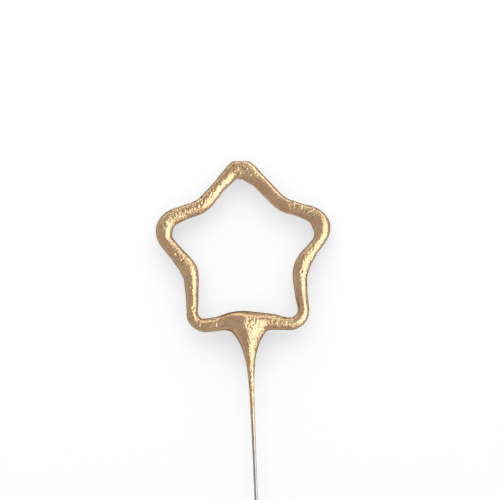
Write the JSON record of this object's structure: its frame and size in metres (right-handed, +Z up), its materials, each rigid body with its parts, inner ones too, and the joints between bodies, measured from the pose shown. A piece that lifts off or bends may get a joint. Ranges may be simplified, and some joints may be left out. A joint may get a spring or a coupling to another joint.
{
  "type": "star sparkler",
  "caption": "Hand-held wire sparkler whose gold-painted burning end is bent to a five-pointed star, on a thin bare steel stem that pushes into a holder or a cake.",
  "frame": {"origin": "centre of the stem's cut end, on the wire's axis", "axes": "+Z up along the stem towards the star, star in the XZ plane, front of the star towards -Y"},
  "size_m": [0.0598, 0.008, 0.178],
  "materials": {
    "wire_steel": "satin",
    "composition": "matte",
    "gold_paint": "satin"
  },
  "bodies": {
    "root": {"core_wire": "wire_steel", "composition_coat": "composition", "gold_coat": "gold_paint"}
  },
  "joints": []
}
